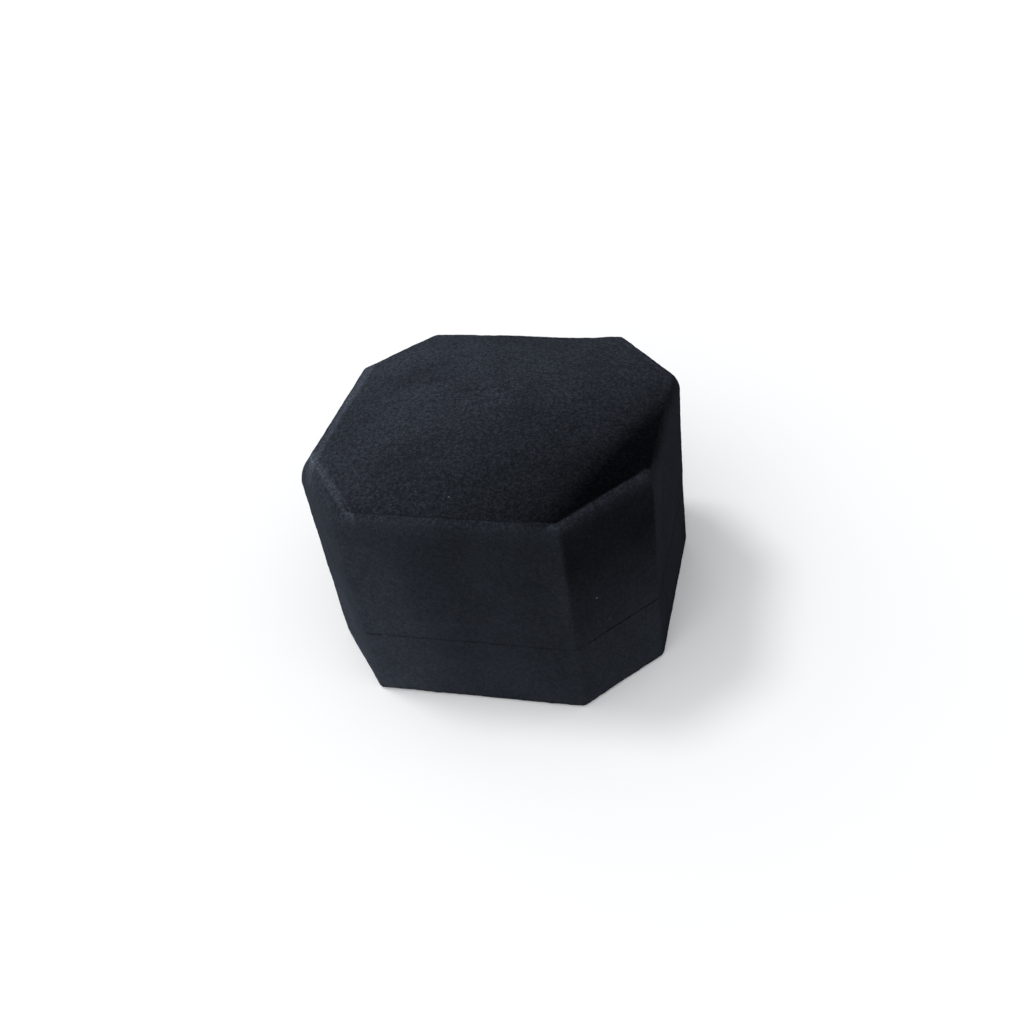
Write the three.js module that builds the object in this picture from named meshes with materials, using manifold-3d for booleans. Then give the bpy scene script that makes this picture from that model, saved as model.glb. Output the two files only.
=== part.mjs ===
// An octagonal ring box covered in dark velvet: a low base with a ring cushion and a raised collar,
// and a tall lid with a padded top that lifts straight off the collar.
// Millimetres, +Z up, +Y to the rear. The origin is the middle of the base, on the table.
import * as THREE from "three";
import { mergeVertices } from "three/addons/utils/BufferGeometryUtils.js";
import Module from "manifold-3d";

// ---- Outside of the closed box ----
const width = 55; // along X
const depth = 53.4; // along Y
const rimHeight = 35.8; // from the table to the top of the welt
const domeRise = 3.4; // how far the padded top swells above the welt
const chamferX = 10.5; // leg of each cut corner along X
const chamferY = 12.4; // and along Y
const cornerRadius = 1.2; // round of the eight upright edges
const seamHeight = 12.6; // where the lid meets the base

// ---- Thickness of each layer ----
const velvet = 0.8; // pile fabric with its backing
const gap = 0.3; // between any two pieces that touch
const lidWall = 1.8; // walls of the moulded lid shell
const lidPlate = 1.4; // its flat top
const lining = 0.7; // fabric liner inside the lid
const floorThickness = 1.8; // floor of the moulded base shell
const collarWall = 1.6; // board collar
const boardThickness = 1; // card under the cushion and card above the ceiling pad
const ceilingPadThickness = 1.4;

// ---- Collar, cushion and ring slot ----
const slideClearance = 0.4; // between the lid lining and the collar velvet
const collarRise = 6; // how far the collar stands above the seam
const collarTuck = 6; // how far its velvet turns down inside
const cushionDrop = 2.6; // from the top of the collar down to the cushion
const cushionEdge = 1.6; // round of the cushion's upper edges
const cushionCorner = 3; // round of its upright corners
const edgeToCorner = 0.55; // most that the edge round may be, as a share of the corner round
const slotWidth = 4.6;
const slotDepth = 10.8;
const slotEndMargin = 2.4; // from the ends of the slot strip to the ends of the cushion

// ---- Edges ----
const hemRound = 0.35; // round of a folded fabric edge
const leastRound = 0.6; // of an upright edge, wider than the round of a hem
const weltStand = 0.6; // how far the welt stands above the wall velvet
const domeEdgeDrop = 0.5; // from the top of the welt down to the edge of the dome
const curveSteps = 3; // straight pieces in the round of a corner
const bevelSteps = 2; // rings in the round of an edge
const domeRings = 7;
const domeSides = 40;

// ---- Insets from the outside walls, inwards ----
const shellOuter = velvet + gap;
const lidShellInner = shellOuter + lidWall;
const liningOuter = lidShellInner + gap;
const liningInner = liningOuter + lining;
const baseShellInner = liningInner;
const collarVelvetOuter = liningInner + slideClearance;
const collarOuter = collarVelvetOuter + velvet + gap;
const collarInner = collarOuter + collarWall;
const collarVelvetInner = collarInner + gap + velvet;
const cushionOuter = collarVelvetInner + gap;
const weltInner = shellOuter + velvet;
const topVelvetOuter = weltInner + gap;
const topFoamOuter = topVelvetOuter + velvet + gap;

// ---- Heights above the table ----
const baseFloorBottom = velvet + gap;
const baseFloorTop = baseFloorBottom + floorThickness;
const insertBottom = baseFloorTop + gap;
const baseShellTop = seamHeight - velvet - gap;
const boardTop = insertBottom + boardThickness;
const cushionBottom = boardTop + gap;
const collarTop = seamHeight + collarRise;
const cushionTop = collarTop - cushionDrop;
const slotFloor = cushionTop - slotDepth;
const lidBottom = seamHeight + gap;
const lidShellBottom = lidBottom + velvet + gap;
const wallVelvetTop = rimHeight - weltStand;
const domeEdge = rimHeight - domeEdgeDrop;
const domeTop = rimHeight + domeRise;
const lidShellTop = domeEdge - velvet - gap - velvet;
const plateBottom = lidShellTop - lidPlate;
const ceilingCardTop = plateBottom - gap;
const ceilingCardBottom = ceilingCardTop - boardThickness;
const ceilingPadTop = ceilingCardBottom - gap;
const ceilingPadBottom = ceilingPadTop - ceilingPadThickness;

// ---- Solids ----
const wasm = await Module();
wasm.setup();

function solidOf(geometry) {
  const bare = geometry.clone();
  bare.deleteAttribute("normal");
  bare.deleteAttribute("uv");
  const merged = mergeVertices(bare, 1e-4);
  return new wasm.Manifold(
    new wasm.Mesh({
      numProp: 3,
      vertProperties: new Float32Array(merged.attributes.position.array),
      triVerts: new Uint32Array(merged.index.array),
    }),
  );
}

function geometryOf(solid) {
  const made = solid.getMesh();
  const geometry = new THREE.BufferGeometry();
  geometry.setAttribute("position", new THREE.BufferAttribute(made.vertProperties, made.numProp));
  geometry.setIndex(new THREE.BufferAttribute(made.triVerts, 1));
  geometry.computeVertexNormals();
  return geometry;
}

// A closed outline through the corners, each rounded with the given radius.
function roundedOutline(corners, radius) {
  const shape = new THREE.Shape();
  corners.forEach((corner, i) => {
    const before = corners.at(i - 1);
    const after = corners[(i + 1) % corners.length];
    const back = before.clone().sub(corner).normalize();
    const ahead = after.clone().sub(corner).normalize();
    const turn = Math.PI - back.angleTo(ahead);
    const reach = radius * Math.tan(turn / 2);
    const start = corner.clone().addScaledVector(back, reach);
    const end = corner.clone().addScaledVector(ahead, reach);
    if (i === 0) shape.moveTo(start.x, start.y);
    else shape.lineTo(start.x, start.y);
    shape.quadraticCurveTo(corner.x, corner.y, end.x, end.y);
  });
  shape.closePath();
  return shape;
}

// Half sizes and corner legs of the box's outline, with every side moved inwards by inset.
function octagonSizes(inset) {
  const slant = Math.hypot(chamferX, chamferY);
  return {
    halfX: width / 2 - inset,
    halfY: depth / 2 - inset,
    legX: chamferX - inset * (1 - (slant - chamferX) / chamferY),
    legY: chamferY - inset * (1 - (slant - chamferY) / chamferX),
  };
}

// An outline further in has tighter corners.
function innerRadius(inset) {
  return Math.max(cornerRadius - inset, leastRound);
}

function octagon(inset) {
  const { halfX, halfY, legX, legY } = octagonSizes(inset);
  const corners = [
    new THREE.Vector2(halfX - legX, -halfY),
    new THREE.Vector2(halfX, legY - halfY),
    new THREE.Vector2(halfX, halfY - legY),
    new THREE.Vector2(halfX - legX, halfY),
    new THREE.Vector2(legX - halfX, halfY),
    new THREE.Vector2(-halfX, halfY - legY),
    new THREE.Vector2(-halfX, legY - halfY),
    new THREE.Vector2(legX - halfX, -halfY),
  ];
  return roundedOutline(corners, innerRadius(inset));
}

// The corner round of a cushion half, small enough for the short straight side beside the slot.
function cushionRadius(inset, slotEdge) {
  const { halfY, legY } = octagonSizes(inset);
  return Math.min(cushionCorner, (halfY - legY - slotEdge) / 2);
}

// One half of the octagon, beside the slot; side is 1 at the rear and -1 at the front.
function halfOctagon(inset, slotEdge, side) {
  const { halfX, halfY, legX, legY } = octagonSizes(inset);
  const corners = [
    new THREE.Vector2(-halfX, side * slotEdge),
    new THREE.Vector2(halfX, side * slotEdge),
    new THREE.Vector2(halfX, side * (halfY - legY)),
    new THREE.Vector2(halfX - legX, side * halfY),
    new THREE.Vector2(legX - halfX, side * halfY),
    new THREE.Vector2(-halfX, side * (halfY - legY)),
  ];
  if (side < 0) corners.reverse();
  return roundedOutline(corners, cushionRadius(inset, slotEdge));
}

// An upright prism between two heights. A round gives both its ends soft edges.
function prism(shape, bottom, top, round = 0) {
  const geometry = new THREE.ExtrudeGeometry(shape, {
    depth: top - bottom - 2 * round,
    curveSegments: curveSteps,
    bevelEnabled: round > 0,
    bevelSize: round,
    bevelOffset: -round,
    bevelThickness: round,
    bevelSegments: bevelSteps,
  });
  geometry.translate(0, 0, bottom + round);
  return solidOf(geometry);
}

// A prism with a soft upper edge and a square lower one.
function cushionBlock(shape, bottom, top, round) {
  const tall = prism(shape, bottom - 2 * round, top, round);
  return tall.intersect(prism(octagon(0), bottom, top + gap));
}

// A ring between two insets, with soft upper and lower edges on its outside.
function band(outer, inner, bottom, top, round = 0) {
  const hole = prism(octagon(inner), bottom - 1, top + 1);
  return prism(octagon(outer), bottom, top, round).subtract(hole);
}

// A block with a domed top, which falls from its middle to edgeHeight at the corners of its outline.
function domedBlock(inset, bottom, edgeHeight, middleHeight) {
  const { halfX, halfY, legY } = octagonSizes(inset);
  const cornerReach = Math.hypot(halfX, halfY - legY);
  const reach = Math.hypot(width, depth) / 2;
  const profile = [new THREE.Vector2(0, bottom), new THREE.Vector2(reach, bottom)];
  for (let ring = domeRings; ring >= 0; ring -= 1) {
    const radius = (reach * ring) / domeRings;
    const fall = (middleHeight - edgeHeight) * (radius / cornerReach) ** 2;
    profile.push(new THREE.Vector2(radius, middleHeight - fall));
  }
  const lathe = new THREE.LatheGeometry(profile, domeSides);
  lathe.rotateX(Math.PI / 2);
  const dome = solidOf(lathe);
  return dome.intersect(prism(octagon(inset), bottom - 1, middleHeight + 1));
}

// ---- Materials ----
const looks = {
  velvet: new THREE.MeshStandardMaterial({ color: 0x24272c, roughness: 0.96, metalness: 0 }),
  lining: new THREE.MeshStandardMaterial({ color: 0x2b2e34, roughness: 0.85, metalness: 0 }),
  plastic: new THREE.MeshStandardMaterial({ color: 0x1a1a1c, roughness: 0.55, metalness: 0 }),
  card: new THREE.MeshStandardMaterial({ color: 0x4a4744, roughness: 0.9, metalness: 0 }),
  foam: new THREE.MeshStandardMaterial({ color: 0x3a3b3f, roughness: 1, metalness: 0 }),
};

function addPiece(group, name, look, solid) {
  const mesh = new THREE.Mesh(geometryOf(solid), looks[look]);
  mesh.name = name;
  group.add(mesh);
}

// ---- Base ----
function baseShell() {
  const block = prism(octagon(shellOuter), baseFloorBottom, baseShellTop);
  return block.subtract(prism(octagon(baseShellInner), baseFloorTop, baseShellTop + 1));
}

function baseWallVelvet() {
  const sleeve = band(0, velvet, 0, seamHeight, hemRound);
  const hem = band(velvet / 2, baseShellInner, seamHeight - velvet, seamHeight);
  return sleeve.add(hem);
}

// The collar's velvet goes up its outside, over the top and down into the well.
function collarVelvet() {
  const jacket = band(collarVelvetOuter, collarVelvetInner, insertBottom, collarTop, hemRound);
  const room = band(collarOuter - gap, collarInner + gap, insertBottom - 1, collarTop - velvet);
  const below = prism(octagon(collarOuter - gap), insertBottom - 1, collarTop - collarTuck);
  return jacket.subtract(room).subtract(below);
}

function cushionVelvet(side) {
  const outside = halfOctagon(cushionOuter, slotWidth / 2, side);
  const inside = halfOctagon(cushionOuter + velvet, slotWidth / 2 + velvet, side);
  const edge = Math.min(cushionEdge, edgeToCorner * cushionRadius(cushionOuter, slotWidth / 2));
  const cover = cushionBlock(outside, cushionBottom, cushionTop, edge);
  return cover.subtract(prism(inside, cushionBottom - 1, cushionTop - velvet));
}

function cushionFoam(side) {
  const layer = velvet + gap;
  const shape = halfOctagon(cushionOuter + layer, slotWidth / 2 + layer, side);
  return prism(shape, cushionBottom, cushionTop - layer);
}

function slotStrip() {
  const halfLength = octagonSizes(cushionOuter).halfX - slotEndMargin;
  const halfWidth = slotWidth / 2 - gap;
  const corners = [
    new THREE.Vector2(-halfLength, -halfWidth),
    new THREE.Vector2(halfLength, -halfWidth),
    new THREE.Vector2(halfLength, halfWidth),
    new THREE.Vector2(-halfLength, halfWidth),
  ];
  return prism(roundedOutline(corners, hemRound), cushionBottom, slotFloor);
}

const collarCore = band(collarOuter, collarInner, insertBottom, collarTop - velvet - gap);
const base = new THREE.Group();
addPiece(base, "base_foot", "velvet", prism(octagon(shellOuter), 0, velvet));
addPiece(base, "base_shell", "plastic", baseShell());
addPiece(base, "base_wall_velvet", "velvet", baseWallVelvet());
addPiece(base, "cushion_board", "card", prism(octagon(collarInner + gap), insertBottom, boardTop));
addPiece(base, "collar_core", "card", collarCore);
addPiece(base, "collar_velvet", "velvet", collarVelvet());
addPiece(base, "cushion_foam_front", "foam", cushionFoam(-1));
addPiece(base, "cushion_foam_back", "foam", cushionFoam(1));
addPiece(base, "cushion_velvet_front", "velvet", cushionVelvet(-1));
addPiece(base, "cushion_velvet_back", "velvet", cushionVelvet(1));
addPiece(base, "slot_strip", "velvet", slotStrip());

// ---- Lid ----
function lidShell() {
  const block = prism(octagon(shellOuter), lidShellBottom, lidShellTop);
  return block.subtract(prism(octagon(lidShellInner), lidShellBottom - 1, plateBottom));
}

function lidWallVelvet() {
  const sleeve = band(0, velvet, lidBottom, wallVelvetTop, hemRound);
  const hem = band(velvet / 2, liningInner, lidBottom, lidBottom + velvet);
  return sleeve.add(hem);
}

function lidTopVelvet() {
  const outside = domedBlock(topVelvetOuter, lidShellTop + gap, domeEdge, domeTop);
  const inside = domedBlock(topVelvetOuter + velvet, lidShellTop, domeEdge - velvet, domeTop - velvet);
  return outside.subtract(inside);
}

function lidTopFoam() {
  const layer = velvet + gap;
  return domedBlock(topFoamOuter, lidShellTop + gap, domeEdge - layer, domeTop - layer);
}

const rimWelt = band(shellOuter, weltInner, lidShellTop + gap, rimHeight, hemRound);
const lidLining = band(liningOuter, liningInner, lidShellBottom, ceilingCardTop);
const ceilingOutline = octagon(liningInner + gap);
const ceilingCard = prism(ceilingOutline, ceilingCardBottom, ceilingCardTop);
const ceilingPad = prism(ceilingOutline, ceilingPadBottom, ceilingPadTop, hemRound);
const lid = new THREE.Group();
addPiece(lid, "lid_shell", "plastic", lidShell());
addPiece(lid, "lid_wall_velvet", "velvet", lidWallVelvet());
addPiece(lid, "lid_rim_welt", "velvet", rimWelt);
addPiece(lid, "lid_top_foam", "foam", lidTopFoam());
addPiece(lid, "lid_top_velvet", "velvet", lidTopVelvet());
addPiece(lid, "lid_lining", "lining", lidLining);
addPiece(lid, "lid_ceiling_card", "card", ceilingCard);
addPiece(lid, "lid_ceiling_pad", "lining", ceilingPad);

const ringBox = new THREE.Group();
ringBox.add(base, lid);

export default ringBox;
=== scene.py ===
"""Looks of an octagonal velvet ring box with a padded lift-off lid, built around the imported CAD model.

Metres, +Z up, +Y to the rear. Every piece of fabric is made here as its own fine mesh: the wraps are
closed bands lofted along the box's outline, and the pads are swollen by a cloth simulation.
"""

import math

import bpy
import numpy as np
from mathutils import Matrix, Vector, noise


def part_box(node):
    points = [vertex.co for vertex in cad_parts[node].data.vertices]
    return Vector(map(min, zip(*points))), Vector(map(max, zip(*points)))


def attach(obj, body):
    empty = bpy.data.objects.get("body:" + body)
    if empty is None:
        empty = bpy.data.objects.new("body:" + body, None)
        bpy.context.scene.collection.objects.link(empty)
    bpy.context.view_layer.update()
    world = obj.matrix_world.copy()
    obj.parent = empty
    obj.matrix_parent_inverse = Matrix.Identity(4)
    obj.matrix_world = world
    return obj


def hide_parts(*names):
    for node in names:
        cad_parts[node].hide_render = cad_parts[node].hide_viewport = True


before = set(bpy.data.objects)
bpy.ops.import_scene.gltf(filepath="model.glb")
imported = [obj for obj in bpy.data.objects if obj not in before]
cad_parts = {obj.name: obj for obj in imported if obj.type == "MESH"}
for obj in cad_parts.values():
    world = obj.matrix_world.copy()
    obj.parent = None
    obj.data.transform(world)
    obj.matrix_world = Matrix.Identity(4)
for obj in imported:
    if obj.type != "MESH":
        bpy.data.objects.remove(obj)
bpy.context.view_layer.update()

MM = 0.001

# ---- Sizes read from the CAD pieces ----
WALL_LOW, WALL_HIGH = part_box("lid_wall_velvet")
HALF_X = WALL_HIGH.x
HALF_Y = WALL_HIGH.y
LID_BOTTOM = WALL_LOW.z
RIM_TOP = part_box("lid_rim_welt")[1].z
TOP_LOW, TOP_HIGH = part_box("lid_top_velvet")
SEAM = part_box("base_wall_velvet")[1].z
COLLAR_LOW, COLLAR_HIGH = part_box("collar_velvet")
CUSHION_LOW, CUSHION_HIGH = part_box("cushion_velvet_back")
STRIP_LOW, STRIP_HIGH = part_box("slot_strip")
CEILING_LOW, CEILING_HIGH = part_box("lid_ceiling_pad")
LINING_LOW, LINING_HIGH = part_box("lid_lining")
FOOT_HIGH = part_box("base_foot")[1]

# ---- Sizes that a box doesn't hold, as in the part ----
CHAMFER_X = 10.5 * MM
CHAMFER_Y = 12.4 * MM
VELVET = 0.8 * MM
LINING = 0.7 * MM
HEM_REACH = 3.9 * MM  # inset to which the velvet is turned under at the seam
COLLAR_TUCK = 6 * MM  # how far the collar's velvet goes down inside
COLLAR_WALL = 3.8 * MM
CORNER_RADIUS = 1.2 * MM
LEAST_RADIUS = 0.5 * MM

# ---- Folds and hems of the fabric ----
HEM_ROUND = 0.25 * MM
BASE_ROUND = 0.9 * MM  # round of the base's bottom edge
COLLAR_ROUND = 0.9 * MM  # round of the collar's top edges
HIDDEN_ROUND = 0.1 * MM  # round of the edges that stay out of sight
INSIDE_ROUND = 0.2 * MM
LINING_ROUND = 0.15 * MM
LINING_HEM_ROUND = 0.3 * MM
HEM_SLACK = 1.2  # depth of a hem, as a multiple of its velvet's thickness

# ---- Rim and padded top ----
SHOULDER_RADIUS = 4.2 * MM  # the wall leans in along this arc below the rim
SHOULDER_INSET = 1.25 * MM  # where the arc is this far in, it is SHOULDER_DROP below the rim
SHOULDER_DROP = 0.1 * MM
SHOULDER_STEPS = 12
FOLD_START = 1.15 * MM  # inset at which the wall turns over the rim
FOLD_RIDGE = 1.55 * MM  # inset of the fold's highest line
FOLD_RIDGE_ROUND = 0.3 * MM
FOLD_INNER = 2.0 * MM
FOLD_LEAN = 0.03 * MM  # how much lower the fold's inner edge is
FOLD_ROUND = 0.5 * MM
FOLD_DEPTH = 1.3 * MM
FOLD_UNDER = 1.4 * MM  # inset of the fold's hidden inner edge
FOLD_TAPER = 3 * MM  # how far below the rim the inside of the fold has thinned to the wall
FOLD_EXTRA = 0.2 * MM  # and how much thicker than its velvet the wall still is there
PAD_OVERLAP = 0.1 * MM  # how far the pad's edge goes under the fold
PAD_SIDE_LOW = 0.4 * MM  # the pad's side starts this far above its underside
PAD_SIDE_HIGH = 0.2 * MM  # and ends this far below the crease
CREASE_DEPTH = 0.34 * MM  # of the crease between rim and pad, where it is deepest
FLUSH_RISE = 0.4 * MM  # where there is no crease, the fold rises this much to meet the pad
FLUSH_REACH = 1.3 * MM  # and reaches this much further in, and dips into it
FLUSH_DIP = 0.3 * MM
FLUSH_START = 0.9 * MM  # inset at which the fold starts to follow the pad
CREASE_BLEND = 2.5 * MM  # how far the crease of one side goes on past its corner
EDGE_RISE = 1.35 * MM  # how far the pad rises in the round of its edge
EDGE_FALL = 2.1 * MM  # the width of that round
LONG_FALL = 4.5 * MM  # the same along the front right chamfer, where the padding is thinner
CROWN_POWER = 6  # how closely the crown of the pad follows its octagonal edge
FOLD_NAP_LEAST = 0.15  # share of the fold's unevenness where it is flush
FOLD_NAP_BLEND = 0.8 * MM  # height over which that unevenness sets in

# ---- One value per side, anticlockwise from the front right chamfer ----
# How far the lid's sides stand off the drawing at the rim, inwards, and the height where that starts.
RIM_SHIFT = np.array([0.0, -0.5, 0.0, 0.1, -0.1, 0.0, 0.8, 0.0]) * MM
SHIFT_START = np.array([20, 14, 20, 20, 20, 20, 32.5, 20]) * MM
CREASE_SHARE = np.array([0.7, 0.0, 0.6, 0.3, 0.0, 0.0, 0.15, 1.0])  # how deep the crease is

# ---- The rim sags a little at the rear right ----
DROOP_START = 20 * MM  # height where the sag starts
DROOP = 0.6 * MM
DROOP_BEHIND = 12 * MM  # it starts this far behind the middle, and is full at twice that
DROOP_MIDDLE = 8 * MM  # to the right of the middle
DROOP_WIDTH = 9 * MM

# ---- Seam ----
SEAM_CLOSE = 0.14 * MM  # the pile on each side of the seam fills this much of the gap
SEAM_ROUND = 0.1 * MM

# ---- Pads inside the box ----
CEILING_SWELL = 0.7 * MM  # how much deeper the ceiling hangs in its middle than at its edge
CEILING_FALL = 2.5 * MM
CEILING_EDGE = 0.5 * MM  # width of its edge
CUSHION_CORNER = 2.4 * MM  # corner radius, seen from above
CUSHION_EDGE = 0.9 * MM  # width and height of the round at the top of the flank
CUSHION_CROWN = 1.1 * MM
CUSHION_FALL = 2.2 * MM  # how fast the crown rises from the edge
CUSHION_FLANK = 0.15 * MM  # inset of the flank
CUSHION_FLANK_LOW = 0.5 * MM  # the flank starts this far above the underside
CUSHION_FLANK_HIGH = 1.8 * MM  # and ends this far below the start of the round
CUSHION_TURN = 0.35 * MM  # inset of the point between flank and round
CUSHION_TURN_LOW = 1.3 * MM  # and how far below the start of the round it is
CUSHION_REACH = 4 * MM  # further in, its outlines shrink towards its middle
CUSHION_HELD = 2 * MM  # the lowest part that the simulation leaves still
STRIP_HOLLOW = 0.25 * MM
STRIP_CORNER = 0.3 * MM
STRIP_SIDE_LOW = 0.3 * MM  # the strip's side starts this far above its underside
STRIP_SIDE_HIGH = 0.25 * MM  # and ends this far below its top

# ---- Felt under the base ----
FOOT_SIDE_LOW = 0.25 * MM  # heights of the felt's side
FOOT_SIDE_HIGH = 0.6 * MM
FOOT_EDGE = 0.3 * MM  # width of its edge

# ---- Fineness ----
TOLERANCE = 0.01 * MM
CELL = 0.36 * MM
FINE_CELL = 0.32 * MM
STRIP_CELL = 0.25 * MM
CORNER_STEPS = 5
ROUND_STEPS = 7  # points in each round of a cross section
INNER_REACH = 13 * MM  # further in, outlines shrink towards the middle
VOXEL = 0.75 * MM

# ---- Cloth simulation, done larger than life ----
CLOTH_SCALE = 20
CLOTH_FRAMES = 20
CLOTH_PRESSURE = 4.0
CLOTH_QUALITY = 5
CLOTH_MASS = 0.3
CLOTH_STIFFNESS = 15
CLOTH_BENDING = 0.5
CLOTH_SMOOTHING = 4
TOP_SWELL = (0.3 * MM, 0.3 * MM, 0.45 * MM)  # the most that a point may move on each axis
TOP_HELD = 0.8 * MM  # the edge that the simulation leaves still
TOP_HELD_LOW = 1 * MM  # and the lowest part that it leaves still
CUSHION_SWELL = (0.25 * MM, 0.25 * MM, 1.2 * MM)

# ---- Unevenness of the fabric: (height, size of its lumps, offset of the noise) ----
NAP = [(0.10 * MM, 9 * MM, 3.1), (0.05 * MM, 2.2 * MM, 7.7), (0.04 * MM, 0.8 * MM, 1.3)]
COLLAR_NAP = [(0.06 * MM, 6 * MM, 3.3), (0.04 * MM, 1.1 * MM, 8.2)]
LINING_NAP = [(0.05 * MM, 6 * MM, 5.5), (0.03 * MM, 1 * MM, 2.8)]
FOLD_NAP = [(0.13 * MM, 5 * MM, 4.2), (0.08 * MM, 1.6 * MM, 9.1), (0.04 * MM, 0.7 * MM, 2.2)]

# ---- Velvet: scales are in lumps or cells per metre ----
GRAIN_SCALE = 3600
MOTTLE_SCALE = 1700
MOTTLE_SHARE = 0.4
PATCH_SCALE = 110
LINT_SCALE = 700
LINT_COLOUR = (0.07, 0.075, 0.08, 1)
PILE_TINT = (0.81, 0.93, 1.18)
PILE_STOPS = (0.38, 0.5, 0.64)  # of the grain, from hollow to tip
PILE_STANDING = (0.78, 1.0, 1.28)  # how light the pile is at those stops, on the walls
PILE_LYING = (0.6, 0.98, 1.7)  # and on the top
PILE_BUMP = 0.14 * MM
SHEEN_TINT = (0.86, 0.93, 1.0, 1)

# ---- Painted light and shade on the outer velvet: (place in metres, share of the scale given first) ----
PAINTED_LIGHT_MOST = 4.0
PAINTED_LIGHT_WAY = (-0.6, 0.8, 0)  # the top's painted light runs along this direction, and its painted shade along the next
PAINTED_SHADE_WAY = (0.93, -0.36, 0)
# painted light: the top is made lighter towards the rear left and darker towards the front
PAINTED_LIGHT_TOP = [(-0.026, 0.2), (-0.020, 0.28), (-0.010, 0.45), (0, 0.64), (0.014, 0.68), (0.027, 0.82)]
# painted shade: a dark zone on the top by the front right chamfer
PAINTED_SHADE_ZONE = [(0.018, 1), (0.0215, 0.8), (0.0242, 0.25), (0.0265, 0.25), (0.030, 0.35)]
# painted shade on the walls by height; the chamfers facing right are painted darker higher up
PAINTED_SHADE_WALL = [(0, 0.84), (0.018, 0.68), (0.032, 0.58), (0.0345, 0.6), (0.036, 0.76)]
PAINTED_SHADE_CHAMFER = [(0, 0.88), (0.012, 0.72), (0.028, 0.28), (0.034, 0.3), (0.036, 0.52)]
# painted tone of the right wall
PAINTED_SHADE_RIGHT = 0.7
# painted light and shade across the box: lighter towards the left, darker towards the middle and right
PAINTED_LIGHT_AND_SHADE_ACROSS = [(-0.0275, 1.25), (-0.017, 0.95), (-0.009, 0.75), (0, 0.5), (0.0275, 0.5)]
# Painted highlights along the rim, by side: added by how far a point is from that side of the outline.
RIM_OPEN_PILE_AND_HIGHLIGHT = {
    # front and front right chamfer: a pale band, partly pile opened over the fold and partly painted
    # highlight
    7: [(-0.0025, 0), (-0.0018, 0.12), (-0.0008, 0.12), (0, 0.04)],
    0: [(-0.0025, 0), (-0.0019, 0.28), (-0.0011, 0.28), (0, 0.05)],
    # left side and front left chamfer: a painted highlight line, as if lit from the left
    5: [(-0.0036, 0), (-0.0028, 0.5), (-0.0020, 0.5), (-0.0012, 0), (0, 0)],
    6: [(-0.0036, 0), (-0.0031, 0.5), (-0.0026, 0.5), (-0.0020, 0), (0, 0)],
}

# ---- Light and floor ----
KEY_DIRECTION = Vector((17.6, -4.1, -37))  # the way its light goes
KEY_STRENGTH = 0.9
KEY_ANGLE = math.radians(15)
FLOOR_SIZE = 8
FLOOR_DROP = 0.02 * MM  # keeps the floor just under the box
FLOOR_COLOUR = (0.9, 0.9, 0.9, 1)
SURROUND_COLOUR = (0.97, 0.985, 1.0, 1)
# Soft lights of the surround: azimuth and elevation in degrees, how narrow, and strength. Azimuth 0
# is the front and 90 the right.
SURROUND = [
    (0, 90, 3, 0.7),
    (0, 25, 3, 1.9),
    (90, 25, 3, 0.5),
    (180, 8, 8, 0.3),
    (225, 8, 8, 1.6),
    (270, 8, 8, 1.7),
    (315, 8, 8, 0.7),
]

# ---- Camera ----
VIEW_AZIMUTH = math.radians(20.37)
VIEW_ELEVATION = math.radians(38.13)
VIEW_ROLL = math.radians(-10.15)
VIEW_DISTANCE = 188.8 * MM
VIEW_TARGET = Vector((0.9 * MM, 0, 16.6 * MM))
SENSOR = 36  # millimetres, as the lens
LENS = 39.642


# ---------------------------------------------------------------- outlines
def octagon_corners():
    """Corners of the box's outline, anticlockwise from the right end of the front."""
    x, y = HALF_X, HALF_Y
    a, b = CHAMFER_X, CHAMFER_Y
    right = [(x - a, -y), (x, b - y), (x, y - b), (x - a, y)]
    left = [(-px, -py) for px, py in right]
    return np.array(right + left)


OCTAGON = octagon_corners()


def side_normals(corners):
    """Outward normal of the side that starts at each corner of an anticlockwise polygon."""
    along = np.roll(corners, -1, 0) - corners
    along /= np.linalg.norm(along, axis=1)[:, None]
    return np.stack([along[:, 1], -along[:, 0]], 1)


def inset_corners(corners, inset):
    """Corners of a convex polygon after its sides have moved inwards, by one inset or one for each."""
    normals = side_normals(corners)
    insets = np.broadcast_to(inset, len(corners))
    moved = []
    for i, corner in enumerate(corners):
        pair = np.array([normals[i - 1], normals[i]])
        moved.append(np.linalg.solve(pair, pair @ corner - insets[[i - 1, i]]))
    return np.array(moved)


def side_lengths(corners):
    return np.linalg.norm(np.roll(corners, -1, 0) - corners, axis=1)


def side_distances(corners, points):
    """How far inside each side of the polygon the points lie: one row per side."""
    normals = side_normals(corners)
    return np.array([(corner - points) @ normal for corner, normal in zip(corners, normals)])


def cell_counts(corners, cell):
    return [max(2, int(round(length / cell))) for length in side_lengths(corners)]


def outline(corners, steps, inset, radius):
    """A polygon moved inwards, with round corners, and as many cells along each side as steps says."""
    normals = side_normals(corners)
    arcs = []
    for i, corner in enumerate(inset_corners(corners, inset)):
        before, after = normals[i - 1], normals[i]
        centre = corner - radius * (before + after) / (1 + before @ after)
        first = math.atan2(before[1], before[0])
        turn = math.acos(max(-1.0, min(1.0, before @ after)))
        angles = first + turn * np.linspace(0, 1, CORNER_STEPS + 1)
        arcs.append(centre + radius * np.stack([np.cos(angles), np.sin(angles)], 1))
    points = []
    for i, arc in enumerate(arcs):
        following = arcs[(i + 1) % len(arcs)][0]
        share = np.linspace(0, 1, steps[i] + 1)[1:-1, None]
        points.append(arc)
        points.append(arc[-1] * (1 - share) + following * share)
    return np.concatenate(points)


def corner_radius(inset):
    return max(CORNER_RADIUS - inset, LEAST_RADIUS)


def rim_corners(z):
    """The lid's outline at a height: the drawn octagon, with its sides a little off near the rim."""
    share = np.clip((z - SHIFT_START) / (RIM_TOP - SHIFT_START), 0, 1)
    return inset_corners(OCTAGON, RIM_SHIFT * share)


def drawn_corners(z):
    """The drawn outline, which is the same at every height."""
    return OCTAGON


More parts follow.
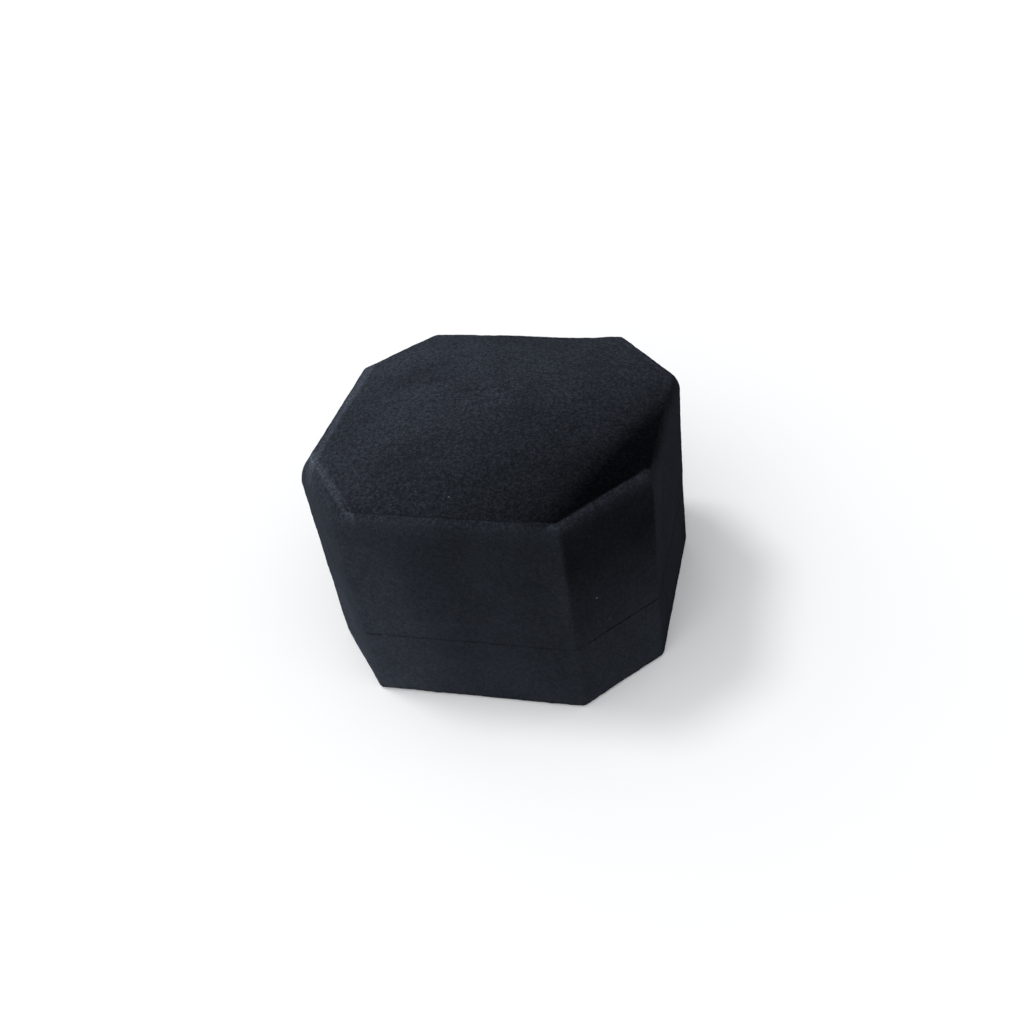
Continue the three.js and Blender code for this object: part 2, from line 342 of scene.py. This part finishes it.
def even_path(points, cell):
    """Points at even distances along a path of (inset, z, round) corners."""
    path = []
    for i, (inset, z, radius) in enumerate(points):
        here = np.array((inset, z))
        if radius == 0:
            path.append(here)
            continue
        before = np.array(points[i - 1][:2]) - here
        after = np.array(points[i + 1][:2]) - here
        before /= np.linalg.norm(before)
        after /= np.linalg.norm(after)
        half = math.acos(max(-1.0, min(1.0, before @ after))) / 2
        reach = radius / math.tan(half)
        start, end = here + before * reach, here + after * reach
        for share in np.linspace(0, 1, ROUND_STEPS):
            path.append((1 - share) ** 2 * start + 2 * share * (1 - share) * here + share**2 * end)
    path = np.array(path)
    lengths = np.linalg.norm(np.diff(path, axis=0), axis=1)
    distance = np.concatenate([[0], np.cumsum(lengths)])
    samples = np.linspace(0, distance[-1], max(3, int(distance[-1] / cell) + 1))
    return np.stack([np.interp(samples, distance, path[:, k]) for k in (0, 1)], 1)


def closed_path(points, cell=CELL):
    """The closed cross section through the given corners, without its repeated end point."""
    middle = (np.array(points[0][:2]) + np.array(points[1][:2])) / 2
    loop = [(*middle, 0)] + points[1:] + points[:1] + [(*middle, 0)]
    return even_path(loop, cell)[:-1]


# ---------------------------------------------------------------- meshes
def new_object(name, vertices, faces):
    mesh = bpy.data.meshes.new(name)
    mesh.from_pydata([tuple(v) for v in vertices], [], faces)
    mesh.update()
    mesh.shade_smooth()
    obj = bpy.data.objects.new(name, mesh)
    bpy.context.scene.collection.objects.link(obj)
    face_outwards(mesh)
    return obj


def coordinates(mesh):
    flat = np.empty(3 * len(mesh.vertices))
    mesh.vertices.foreach_get("co", flat)
    return flat.reshape(-1, 3)


def move_points(mesh, points):
    mesh.vertices.foreach_set("co", np.asarray(points).ravel())
    mesh.update()


def face_outwards(mesh):
    """Turns a closed mesh's faces so that they point out."""
    mesh.calc_loop_triangles()
    points = coordinates(mesh)
    corners = np.array([triangle.vertices for triangle in mesh.loop_triangles])
    a, b, c = (points[corners[:, i]] for i in range(3))
    if np.einsum("ij,ij->i", a, np.cross(b, c)).sum() < 0:
        mesh.flip_normals()


def quads_between(rings, count, closed):
    """Faces of a stack of rings of count points each; closed joins the last ring to the first."""
    faces = []
    for r in range(rings if closed else rings - 1):
        low, high = r * count, ((r + 1) % rings) * count
        for i in range(count):
            j = (i + 1) % count
            faces.append((low + i, low + j, high + j, high + i))
    return faces


def band(name, section, corners_at=drawn_corners, cell=CELL):
    """A closed ring of fabric: section is its cross section as (inset, z), closed on itself."""
    steps = cell_counts(OCTAGON, cell)
    layers = []
    for inset, z in section:
        around = outline(corners_at(z), steps, inset, corner_radius(inset))
        layers.append(np.column_stack([around, np.full(len(around), z)]))
    return new_object(name, np.concatenate(layers), quads_between(len(layers), len(layers[0]), True))


def slab(name, section, corners=OCTAGON, cell=CELL, reach=INNER_REACH, radius=corner_radius):
    """A closed sheet or pad: section runs from the middle of its underside round to the middle of
    its top, and insets past reach shrink the outline towards the middle instead."""
    centre = corners.mean(0)
    depth = side_distances(corners, centre[None]).min()
    steps = cell_counts(corners, cell)
    layers = []
    for inset, z in section:
        near = min(inset, reach)
        around = outline(corners, steps, near, radius(near))
        share = 1 if inset <= reach else max(0.0, (depth - inset) / (depth - reach))
        around = centre + (around - centre) * share
        layers.append(np.column_stack([around, np.full(len(around), z)]))
    count = len(layers[0])
    vertices = np.concatenate([layers[0].mean(0)[None], *layers, layers[-1].mean(0)[None]])
    faces = [tuple(i + 1 for i in face) for face in quads_between(len(layers), count, False)]
    last, top = len(vertices) - 1, 1 + (len(layers) - 1) * count
    faces += [(0, 1 + (i + 1) % count, 1 + i) for i in range(count)]
    faces += [(last, top + i, top + (i + 1) % count) for i in range(count)]
    return new_object(name, vertices, faces)


def apply_modifiers(obj):
    depsgraph = bpy.context.evaluated_depsgraph_get()
    made = bpy.data.meshes.new_from_object(obj.evaluated_get(depsgraph))
    obj.modifiers.clear()
    obj.data = made
    made.shade_smooth()


def swell(obj, held, cap):
    """Puffs a closed pad up by cloth simulation, then smooths and subdivides it.

    Points where held(points) is true stay still, and no point moves further than cap on each axis.
    """
    remesh = obj.modifiers.new("remesh", "REMESH")
    remesh.mode = "VOXEL"
    remesh.voxel_size = VOXEL
    apply_modifiers(obj)
    simulate(obj, held, np.array(cap))
    smooth = obj.modifiers.new("smooth", "SMOOTH")
    smooth.iterations = CLOTH_SMOOTHING
    obj.modifiers.new("subdivision", "SUBSURF").levels = 1
    apply_modifiers(obj)


def simulate(obj, held, cap):
    """Runs the cloth simulation under pressure and moves the mesh's points by its result."""
    start = coordinates(obj.data)
    group = obj.vertex_groups.new(name="held")
    group.add([int(i) for i in np.flatnonzero(held(start))], 1.0, "REPLACE")
    move_points(obj.data, start * CLOTH_SCALE)
    cloth = obj.modifiers.new("cloth", "CLOTH")
    cloth.settings.quality = CLOTH_QUALITY
    cloth.settings.mass = CLOTH_MASS
    cloth.settings.tension_stiffness = CLOTH_STIFFNESS
    cloth.settings.compression_stiffness = CLOTH_STIFFNESS
    cloth.settings.bending_stiffness = CLOTH_BENDING
    cloth.settings.vertex_group_mass = group.name
    cloth.settings.use_pressure = True
    cloth.settings.uniform_pressure_force = CLOTH_PRESSURE
    cloth.settings.effector_weights.gravity = 0
    cloth.point_cache.frame_end = CLOTH_FRAMES
    for step in range(1, CLOTH_FRAMES + 1):
        bpy.context.scene.frame_set(step)
    swollen = obj.evaluated_get(bpy.context.evaluated_depsgraph_get())
    moved = coordinates(swollen.data) / CLOTH_SCALE - start
    obj.modifiers.clear()
    obj.vertex_groups.clear()
    bpy.context.scene.frame_set(1)
    move_points(obj.data, start + np.clip(moved, -cap, cap))


def unevenness(obj, layers, weight=None):
    """Moves each point along its normal by smooth noise, less where weight(points) is below 1."""
    mesh = obj.data
    normals = np.empty(3 * len(mesh.vertices))
    mesh.vertices.foreach_get("normal", normals)
    points = coordinates(mesh)
    moved = np.zeros(len(points))
    for height, size, offset in layers:
        shift = Vector((offset, -offset, 2 * offset))
        moved += height * np.array([noise.noise(Vector(p) / size + shift) for p in points])
    if weight is not None:
        moved *= weight(points)
    move_points(mesh, points + normals.reshape(-1, 3) * moved[:, None])


def keep_above_table(obj):
    points = coordinates(obj.data)
    points[:, 2] = np.maximum(points[:, 2], 0)
    move_points(obj.data, points)


# ---------------------------------------------------------------- materials
def add_node(nodes, links, kind, inputs, **settings):
    """A shader node with its inputs set: an input is a value or another node's output."""
    node = nodes.new(kind)
    for key, value in settings.items():
        setattr(node, key, value)
    for key, value in inputs.items():
        if isinstance(value, bpy.types.NodeSocket):
            links.new(value, node.inputs[key])
        else:
            node.inputs[key].default_value = value
    return node


def ramp(nodes, links, factor, stops):
    """A colour ramp through (position, colour) stops."""
    node = nodes.new("ShaderNodeValToRGB")
    elements = node.color_ramp.elements
    while len(elements) < len(stops):
        elements.new(0.5)
    for element, (position, colour) in zip(elements, stops):
        element.position = position
        element.color = (*colour, 1)
    links.new(factor, node.inputs["Fac"])
    return node.outputs["Color"]


def tone(value):
    return (value, value, value)


def mapped(nodes, links, value, low, high):
    """The value as a share of the way from low to high."""
    return add_node(nodes, links, "ShaderNodeMapRange", {"Value": value, 1: low, 2: high}).outputs[0]


def along(nodes, links, vector, direction):
    inputs = {0: vector, 1: direction}
    node = add_node(nodes, links, "ShaderNodeVectorMath", inputs, operation="DOT_PRODUCT")
    return node.outputs["Value"]


def painted_light_and_shade(nodes, links, place, normal):
    """Painted light and shade, as a share of the largest scale: on the top lighter towards the rear
    left, darker in a zone by the front right chamfer, with painted highlights along the rim; on the
    walls by height, darker on the chamfers facing right, and lighter towards the left."""

    def shares(factor, stops):
        """Stops are (position, share), with positions evenly mapped to the first and last of them."""
        low, high = stops[0][0], stops[-1][0]
        places = [((at - low) / (high - low), tone(value)) for at, value in stops]
        return ramp(nodes, links, mapped(nodes, links, factor, low, high), places)

    def mixed(factor, first, second, kind="MIX"):
        inputs = {0: factor, 6: first, 7: second}
        node = add_node(nodes, links, "ShaderNodeMix", inputs, data_type="RGBA", blend_type=kind)
        return node.outputs[2]

    def toward(direction):
        return along(nodes, links, place, direction)

    def beyond(side):
        """How far outside a side of the drawn outline a point is: negative inside."""
        outward = side_normals(OCTAGON)[side]
        inputs = {0: toward((*outward, 0)), 1: -float(outward @ OCTAGON[side])}
        return add_node(nodes, links, "ShaderNodeMath", inputs, operation="ADD").outputs[0]

    top = shares(toward(PAINTED_LIGHT_WAY), PAINTED_LIGHT_TOP)
    top = mixed(1.0, top, shares(toward(PAINTED_SHADE_WAY), PAINTED_SHADE_ZONE), "MULTIPLY")
    for side, stops in RIM_OPEN_PILE_AND_HIGHLIGHT.items():
        top = mixed(1.0, top, shares(beyond(side), stops), "ADD")
    height = toward((0, 0, 1))
    rightwards = along(nodes, links, normal, (1, 0, 0))
    rightness = mapped(nodes, links, rightwards, 0.2, 0.75)
    farther = mapped(nodes, links, rightwards, 0.8, 0.97)
    wall = mixed(rightness, shares(height, PAINTED_SHADE_WALL), shares(height, PAINTED_SHADE_CHAMFER))
    wall = mixed(farther, wall, (*tone(PAINTED_SHADE_RIGHT), 1))
    wall = mixed(1.0, wall, shares(toward((1, 0, 0)), PAINTED_LIGHT_AND_SHADE_ACROSS), "MULTIPLY")
    lying = mapped(nodes, links, along(nodes, links, normal, (0, 0, 1)), 0.45, 0.8)
    return mixed(lying, wall, top)


def velvet_material(name, shade, paint_light=True):
    """Short pile: fine grain, patches of tone, pale specks of lint, and a sheen at grazing angles;
    unless switched off, also painted light and shade by place and by which way a side faces.
    """
    material = bpy.data.materials.new(name)
    material.use_nodes = True
    nodes, links = material.node_tree.nodes, material.node_tree.links
    shader = nodes["Principled BSDF"]
    coordinate = nodes.new("ShaderNodeTexCoord")
    place = coordinate.outputs["Object"]

    def cloudy(scale, detail):
        inputs = {"Vector": place, "Scale": scale, "Detail": detail}
        return add_node(nodes, links, "ShaderNodeTexNoise", inputs).outputs["Fac"]

    def product(first, second):
        inputs = {0: 1.0, 6: first, 7: second}
        node = add_node(nodes, links, "ShaderNodeMix", inputs, data_type="RGBA", blend_type="MULTIPLY")
        return node.outputs[2]

    grain = cloudy(GRAIN_SCALE, 2)
    mottle = cloudy(MOTTLE_SCALE, 2)
    patches = cloudy(PATCH_SCALE, 3)
    pile = add_node(nodes, links, "ShaderNodeMix", {0: MOTTLE_SHARE, 2: grain, 3: mottle}).outputs[0]
    most = PAINTED_LIGHT_MOST if paint_light else 1.0

    def piled(shares):
        colours = [[share * most * shade * t for t in PILE_TINT] for share in shares]
        return ramp(nodes, links, pile, list(zip(PILE_STOPS, colours)))

    lying = mapped(nodes, links, along(nodes, links, coordinate.outputs["Normal"], (0, 0, 1)), 0.5, 0.9)
    inputs = {0: lying, 6: piled(PILE_STANDING), 7: piled(PILE_LYING)}
    colour = add_node(nodes, links, "ShaderNodeMix", inputs, data_type="RGBA").outputs[2]
    colour = product(colour, ramp(nodes, links, patches, [(0.3, tone(0.75)), (0.7, tone(1.0))]))
    # painted light and shade: the colour is made lighter or darker by place and by which way a side
    # faces
    if paint_light:
        colour = product(colour, painted_light_and_shade(nodes, links, place, coordinate.outputs["Normal"]))

    cells = add_node(nodes, links, "ShaderNodeTexVoronoi", {"Vector": place, "Scale": LINT_SCALE})
    speck = ramp(nodes, links, cells.outputs["Distance"], [(0.08, tone(1)), (0.17, tone(0))])
    chosen = ramp(nodes, links, cells.outputs["Color"], [(0.87, tone(0)), (0.93, tone(1))])
    lint = product(speck, chosen)
    inputs = {0: lint, 6: colour, 7: LINT_COLOUR}
    linted = add_node(nodes, links, "ShaderNodeMix", inputs, data_type="RGBA")
    links.new(linted.outputs[2], shader.inputs["Base Color"])

    inputs = {"Height": pile, "Strength": 0.9, "Distance": PILE_BUMP}
    bump = add_node(nodes, links, "ShaderNodeBump", inputs)
    links.new(bump.outputs["Normal"], shader.inputs["Normal"])
    shader.inputs["Roughness"].default_value = 0.95
    shader.inputs["Specular IOR Level"].default_value = 0.0
    shader.inputs["Sheen Weight"].default_value = 0.004
    shader.inputs["Sheen Roughness"].default_value = 0.3
    shader.inputs["Sheen Tint"].default_value = SHEEN_TINT
    return material


def plain_material(name, colour, roughness, scale, contrast=0.25):
    """Moulded or pressed board: a small variation of tone and a light bump."""
    material = bpy.data.materials.new(name)
    material.use_nodes = True
    nodes, links = material.node_tree.nodes, material.node_tree.links
    shader = nodes["Principled BSDF"]
    place = nodes.new("ShaderNodeTexCoord").outputs["Object"]
    inputs = {"Vector": place, "Scale": scale, "Detail": 4}
    grain = add_node(nodes, links, "ShaderNodeTexNoise", inputs).outputs["Fac"]
    low = [c * (1 - contrast) for c in colour]
    high = [c * (1 + contrast) for c in colour]
    links.new(ramp(nodes, links, grain, [(0.3, low), (0.7, high)]), shader.inputs["Base Color"])
    inputs = {"Height": grain, "Strength": 0.25, "Distance": 0.05 * MM}
    bump = add_node(nodes, links, "ShaderNodeBump", inputs)
    links.new(bump.outputs["Normal"], shader.inputs["Normal"])
    shader.inputs["Roughness"].default_value = roughness
    return material


VELVET_LOOK = velvet_material("charcoal_velvet", 0.0122)
INSIDE_LOOK = velvet_material("inside_velvet", 0.019, paint_light=False)
LINING_LOOK = velvet_material("lining_velvet", 0.024, paint_light=False)
SHELL_LOOK = plain_material("moulded_shell", (0.012, 0.012, 0.013), 0.5, 900)
CARD_LOOK = plain_material("grey_card", (0.10, 0.095, 0.09), 0.9, 1500)


def settle(obj, body, slot, look, *replaced):
    """Gives a finished piece its material, its body and the CAD nodes that it stands for."""
    obj.data.materials.clear()
    obj.data.materials.append(look)
    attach(obj, body)
    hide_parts(*replaced)


# ---------------------------------------------------------------- lid
def shoulder_height(inset):
    """Height of the wall's outside where it leans in, at an inset up to the shoulder's radius."""

    def rise(at):
        return SHOULDER_RADIUS * math.sin(math.acos(1 - at / SHOULDER_RADIUS))

    return RIM_TOP - SHOULDER_DROP - rise(SHOULDER_INSET) + rise(inset)


def shoulder(first, last, steps):
    """Points along the leaning part of the wall between two insets."""
    angles = np.linspace(*(math.acos(1 - inset / SHOULDER_RADIUS) for inset in (first, last)), steps)
    insets = SHOULDER_RADIUS * (1 - np.cos(angles))
    return [(inset, shoulder_height(inset), 0) for inset in insets]


def droop(obj):
    """Lets the lid's rim sag a little at the rear right, more the nearer a point is to the rim."""
    points = coordinates(obj.data)
    height = np.clip((points[:, 2] - DROOP_START) / (RIM_TOP - DROOP_START), 0, 1)
    behind = np.clip((points[:, 1] - DROOP_BEHIND) / DROOP_BEHIND, 0, 1)
    beside = np.exp(-(((points[:, 0] - DROOP_MIDDLE) / DROOP_WIDTH) ** 2))
    points[:, 2] -= DROOP * height**2 * behind * beside
    move_points(obj.data, points)


def crease_share(points):
    """How deep the crease round the pad is at points (x, y), from 0, flush, to 1."""
    nearness = np.exp(-side_distances(OCTAGON, points) / CREASE_BLEND)
    return CREASE_SHARE @ nearness / nearness.sum(0)


def pad_edge():
    """The outline of the padded top, a little under the fold."""
    return inset_corners(rim_corners(RIM_TOP), FOLD_INNER - PAD_OVERLAP)


def pad_height(points):
    """Height of the padded top over points (x, y): round at its edge, and crowned."""
    edge = pad_edge()
    distances = np.maximum(side_distances(edge, points), 0)
    falls = np.full(len(edge), EDGE_FALL)
    falls[0] = LONG_FALL
    rounding = (1 - np.exp(-distances / falls[:, None])).prod(0)
    spans = side_distances(edge, edge.mean(0)[None])
    outness = (np.maximum(1 - distances / spans, 0) ** CROWN_POWER).sum(0) ** (1 / CROWN_POWER)
    share = crease_share(points)
    low = RIM_TOP - CREASE_DEPTH * share + FLUSH_RISE * (1 - share)
    shoulder_top = RIM_TOP - CREASE_DEPTH + EDGE_RISE
    inside = shoulder_top + (TOP_HIGH.z - shoulder_top) * (1 - outness**2)
    return low * (1 - rounding) + inside * rounding


def meet_pad(obj):
    """Where there is no crease, lets the fold run on over the pad's edge and into the pad."""
    points = coordinates(obj.data)
    corners = rim_corners(RIM_TOP)
    inset = side_distances(corners, points[:, :2]).min(0)
    inward = np.clip((inset - FLUSH_START) / (FOLD_INNER - FLUSH_START), 0, 1)
    flush = (1 - crease_share(points[:, :2])) * (points[:, 2] > RIM_TOP - FOLD_DEPTH / 2)
    middle = corners.mean(0)
    towards = middle - points[:, :2]
    towards /= np.linalg.norm(towards, axis=1)[:, None]
    points[:, :2] += towards * (FLUSH_REACH * inward**2 * flush)[:, None]
    onto = pad_height(points[:, :2]) - FLUSH_DIP * inward**6
    points[:, 2] += (onto - RIM_TOP) * inward**1.5 * flush
    move_points(obj.data, points)


def on_fold(points):
    """1 on the creased parts of the fold, and 0 on the wall and where the fold runs into the pad."""
    share = np.clip(crease_share(points[:, :2]), FOLD_NAP_LEAST, 1)
    return share * np.clip((points[:, 2] - RIM_TOP + FOLD_DEPTH) / FOLD_NAP_BLEND, 0, 1)


def lid_walls():
    """The wall's velvet from its hem at the seam, up the outside and over the rim to the crease."""
    low = LID_BOTTOM - SEAM_CLOSE
    section = [
        (HEM_REACH, low + VELVET, HEM_ROUND),
        (HEM_REACH, low, HEM_ROUND),
        (0, low, SEAM_ROUND),
        *shoulder(0, FOLD_START, SHOULDER_STEPS),
        (FOLD_RIDGE, RIM_TOP, FOLD_RIDGE_ROUND),
        (FOLD_INNER, RIM_TOP - FOLD_LEAN, FOLD_ROUND),
        (FOLD_INNER, RIM_TOP - FOLD_DEPTH, 0),
        (FOLD_UNDER, RIM_TOP - FOLD_DEPTH, 0),
        (VELVET + FOLD_EXTRA, RIM_TOP - FOLD_TAPER, 0),
        (VELVET, low + HEM_SLACK * VELVET, INSIDE_ROUND),
    ]
    obj = band("lid_walls", closed_path(section, FINE_CELL), rim_corners, FINE_CELL)
    meet_pad(obj)
    unevenness(obj, NAP)
    unevenness(obj, FOLD_NAP, on_fold)
    droop(obj)
    settle(obj, "lid", "velvet", VELVET_LOOK, "lid_wall_velvet", "lid_rim_welt")


def lid_top():
    """The padded top: its velvet and foam as one swollen pad."""
    edge = FOLD_INNER - PAD_OVERLAP
    corners = rim_corners(RIM_TOP)
    crease = pad_edge()
    insets = np.arange(edge + CELL / 2, HALF_Y, CELL)
    top = [(inset, TOP_HIGH.z) for inset in insets]
    under = [(inset, TOP_LOW.z) for inset in insets[::6][::-1]]
    side_top = RIM_TOP - CREASE_DEPTH - PAD_SIDE_HIGH
    sides = [(edge, TOP_LOW.z + PAD_SIDE_LOW), (edge, side_top)]
    obj = slab("lid_top", under + sides + top, corners)
    points = coordinates(obj.data)
    level = points[:, 2] > TOP_HIGH.z - TOLERANCE
    points[level, 2] = pad_height(points[level, :2])
    move_points(obj.data, points)

    def held(at):
        near = side_distances(crease, at[:, :2]).min(0) < TOP_HELD
        return near | (at[:, 2] < TOP_LOW.z + TOP_HELD_LOW)

    swell(obj, held, TOP_SWELL)
    unevenness(obj, NAP)
    droop(obj)
    settle(obj, "lid", "velvet", VELVET_LOOK, "lid_top_velvet", "lid_top_foam")


def lid_lining():
    """The fabric that lines the lid's walls."""
    inner, outer = HEM_REACH, HEM_REACH - LINING
    section = [
        (outer, LINING_LOW.z, LINING_ROUND),
        (outer, LINING_HIGH.z, LINING_ROUND),
        (inner, LINING_HIGH.z, INSIDE_ROUND),
        (inner, LINING_LOW.z, LINING_HEM_ROUND),
    ]
    obj = band("lid_lining_velvet", closed_path(section))
    unevenness(obj, LINING_NAP)
    settle(obj, "lid", "lining", LINING_LOOK, "lid_lining")


def lid_ceiling():
    """The padded ceiling of the lid, deepest in its middle."""
    low, high = CEILING_LOW.z, CEILING_HIGH.z
    edge = HALF_X - CEILING_HIGH.x
    insets = np.arange(edge + CEILING_EDGE, HALF_Y, 2 * CELL)
    swelling = CEILING_SWELL * np.exp(-(insets - edge) / CEILING_FALL)
    under = list(zip(insets, low + swelling))[::-1]
    top = [(inset, high) for inset in insets[::3]]
    obj = slab("lid_ceiling", under + [(edge, (low + high) / 2)] + top)
    unevenness(obj, LINING_NAP)
    settle(obj, "lid", "lining", LINING_LOOK, "lid_ceiling_pad")


# ---------------------------------------------------------------- base
def base_walls():
    """The velvet round the base, turned in at the seam."""
    high = SEAM + SEAM_CLOSE
    section = [
        (HEM_REACH, high, HEM_ROUND),
        (HEM_REACH, high - VELVET, HEM_ROUND),
        (VELVET, high - HEM_SLACK * VELVET, HIDDEN_ROUND),
        (VELVET, 0, HIDDEN_ROUND),
        (0, 0, BASE_ROUND),
        (0, high, SEAM_ROUND),
    ]
    obj = band("base_walls", closed_path(section))
    unevenness(obj, NAP)
    keep_above_table(obj)
    settle(obj, "base", "velvet", VELVET_LOOK, "base_wall_velvet")


def base_foot():
    """The flat felt under the base."""
    edge = HALF_X - FOOT_HIGH.x
    insets = np.arange(edge + FOOT_EDGE, HALF_Y, 3 * CELL)
    under = [(inset, 0) for inset in insets[::-1]]
    top = [(inset, FOOT_HIGH.z) for inset in insets]
    sides = [(edge, FOOT_SIDE_LOW), (edge, FOOT_SIDE_HIGH)]
    obj = slab("base_foot_felt", under + sides + top)
    settle(obj, "base", "velvet", INSIDE_LOOK, "base_foot")


def collar():
    """The collar's velvet, outside, over the top and down inside."""
    outer = HALF_X - COLLAR_HIGH.x
    inner = outer + COLLAR_WALL
    low, high = COLLAR_LOW.z, COLLAR_HIGH.z
    section = [
        (inner - VELVET, high - COLLAR_TUCK, HIDDEN_ROUND),
        (inner, high - COLLAR_TUCK, INSIDE_ROUND),
        (inner, high, COLLAR_ROUND),
        (outer, high, COLLAR_ROUND),
        (outer, low, HIDDEN_ROUND),
        (outer + VELVET, low, HIDDEN_ROUND),
        (outer + VELVET, high - VELVET, INSIDE_ROUND),
        (inner - VELVET, high - VELVET, INSIDE_ROUND),
    ]
    obj = band("collar", closed_path(section))
    unevenness(obj, COLLAR_NAP)
    settle(obj, "base", "velvet", INSIDE_LOOK, "collar_velvet")


def cushion(side):
    """One padded roll beside the ring slot; side is 1 at the rear and -1 at the front."""
    name = "back" if side > 0 else "front"
    low, high = CUSHION_LOW.z, CUSHION_HIGH.z
    slot_edge = CUSHION_LOW.y
    rim = inset_corners(OCTAGON, HALF_X - CUSHION_HIGH.x)
    right, left = (rim[2][0], slot_edge), (rim[5][0], slot_edge)
    half = np.array([right, *rim[2:6], left]) * side
    depth = (CUSHION_HIGH.y - slot_edge) / 2
    flank = high - CUSHION_EDGE
    insets = np.arange(CUSHION_EDGE, depth, 2 * CELL)
    under = [(inset, low) for inset in insets[::-1]]
    crown = CUSHION_CROWN * (1 - np.exp(-insets / CUSHION_FALL))
    top = list(zip(insets, flank - CUSHION_EDGE + crown))
    heights = np.arange(low + CUSHION_FLANK_LOW, flank - CUSHION_FLANK_HIGH, 2 * CELL)
    sides = [(CUSHION_FLANK, z) for z in heights]
    shape = under + sides + [(CUSHION_TURN, flank - CUSHION_TURN_LOW)] + top

    def radius(inset):
        return max(CUSHION_CORNER - inset, LEAST_RADIUS)

    obj = slab("cushion_" + name, shape, half, 2 * CELL, reach=CUSHION_REACH, radius=radius)
    swell(obj, lambda at: at[:, 2] < low + CUSHION_HELD, CUSHION_SWELL)
    unevenness(obj, NAP)
    settle(obj, "base", "velvet", INSIDE_LOOK, "cushion_velvet_" + name, "cushion_foam_" + name)


def slot_strip():
    """The velvet at the bottom of the ring slot, a little hollow along its middle."""
    x, y = STRIP_HIGH.x, STRIP_HIGH.y
    low, high = STRIP_LOW.z, STRIP_HIGH.z
    corners = np.array([(-x, -y), (x, -y), (x, y), (-x, y)])
    insets = np.arange(STRIP_CELL, y, STRIP_CELL)
    under = [(inset, low) for inset in insets[::-1]]
    top = [(inset, high - STRIP_HOLLOW * (inset / y) ** 2) for inset in insets]
    sides = [(0, low + STRIP_SIDE_LOW), (0, high - STRIP_SIDE_HIGH)]

    def radius(inset):
        return STRIP_CORNER

    obj = slab("slot_velvet", under + sides + top, corners, reach=y / 2, radius=radius)
    unevenness(obj, LINING_NAP)
    settle(obj, "base", "velvet", INSIDE_LOOK, "slot_strip")


# ---------------------------------------------------------------- stage
def studio():
    """Pale floor, a soft key light from the upper left rear, and the surround's soft lights."""
    lay_floor()
    light_key()
    light_surround()
    bpy.context.scene.view_settings.view_transform = "Standard"


def lay_floor():
    place = (0, 0, -FLOOR_DROP)
    bpy.ops.mesh.primitive_grid_add(size=FLOOR_SIZE, x_subdivisions=4, y_subdivisions=4, location=place)
    floor = bpy.context.object
    floor.name = "studio_floor"
    material = bpy.data.materials.new("pale_floor")
    material.use_nodes = True
    shader = material.node_tree.nodes["Principled BSDF"]
    shader.inputs["Base Color"].default_value = FLOOR_COLOUR
    shader.inputs["Roughness"].default_value = 0.9
    shader.inputs["Specular IOR Level"].default_value = 0.0
    floor.data.materials.append(material)


def light_key():
    sun = bpy.data.lights.new("key", "SUN")
    sun.energy = KEY_STRENGTH
    sun.angle = KEY_ANGLE
    key = bpy.data.objects.new("key", sun)
    bpy.context.scene.collection.objects.link(key)
    key.rotation_euler = KEY_DIRECTION.to_track_quat("-Z", "Y").to_euler()


def light_surround():
    """Lights the box from a few wide lobes of light, before a backdrop that looks white."""
    world = bpy.data.worlds.new("surround")
    bpy.context.scene.world = world
    world.use_nodes = True
    nodes, links = world.node_tree.nodes, world.node_tree.links
    place = nodes.new("ShaderNodeTexCoord").outputs["Generated"]
    level = 0.0
    for azimuth, elevation, narrowness, strength in SURROUND:
        azimuth, elevation = math.radians(azimuth), math.radians(elevation)
        flat = math.cos(elevation)
        towards = (math.sin(azimuth) * flat, -math.cos(azimuth) * flat, math.sin(elevation))
        inputs = {0: along(nodes, links, place, towards), 1: 0.0}
        facing = add_node(nodes, links, "ShaderNodeMath", inputs, operation="MAXIMUM").outputs[0]
        inputs = {0: facing, 1: narrowness}
        lobe = add_node(nodes, links, "ShaderNodeMath", inputs, operation="POWER").outputs[0]
        inputs = {0: lobe, 1: strength, 2: level}
        level = add_node(nodes, links, "ShaderNodeMath", inputs, operation="MULTIPLY_ADD").outputs[0]
    lighting = nodes["Background"]
    links.new(level, lighting.inputs["Strength"])
    lighting.inputs["Color"].default_value = SURROUND_COLOUR
    backdrop = add_node(nodes, links, "ShaderNodeBackground", {"Color": (1, 1, 1, 1)})
    seen = nodes.new("ShaderNodeLightPath").outputs["Is Camera Ray"]
    inputs = {0: seen, 1: lighting.outputs[0], 2: backdrop.outputs[0]}
    surround = add_node(nodes, links, "ShaderNodeMixShader", inputs)
    links.new(surround.outputs[0], nodes["World Output"].inputs["Surface"])


def camera():
    """The photograph's view: from the front, to the right and above, held slightly tilted."""
    ahead = math.cos(VIEW_ELEVATION)
    sideways, forwards = math.sin(VIEW_AZIMUTH), math.cos(VIEW_AZIMUTH)
    back = Vector((sideways * ahead, -forwards * ahead, math.sin(VIEW_ELEVATION)))
    level = Vector((forwards, sideways, 0))
    upright = back.cross(level)
    across = math.cos(VIEW_ROLL) * level + math.sin(VIEW_ROLL) * upright
    up = back.cross(across)
    data = bpy.data.cameras.new("camera")
    data.sensor_width = SENSOR
    data.lens = LENS
    data.clip_start = 0.01
    obj = bpy.data.objects.new("camera", data)
    bpy.context.scene.collection.objects.link(obj)
    rotation = Matrix((across, up, back)).transposed().to_4x4()
    obj.matrix_world = Matrix.Translation(VIEW_TARGET + back * VIEW_DISTANCE) @ rotation
    bpy.context.scene.camera = obj


def paint(look, *names):
    """Gives carried-over CAD nodes their material."""
    for name in names:
        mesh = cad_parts[name].data
        mesh.materials.clear()
        mesh.materials.append(look)


paint(SHELL_LOOK, "lid_shell", "base_shell")
paint(CARD_LOOK, "lid_ceiling_card", "cushion_board", "collar_core")
lid_walls()
lid_top()
lid_lining()
lid_ceiling()
base_walls()
base_foot()
collar()
cushion(1)
cushion(-1)
slot_strip()
studio()
camera()
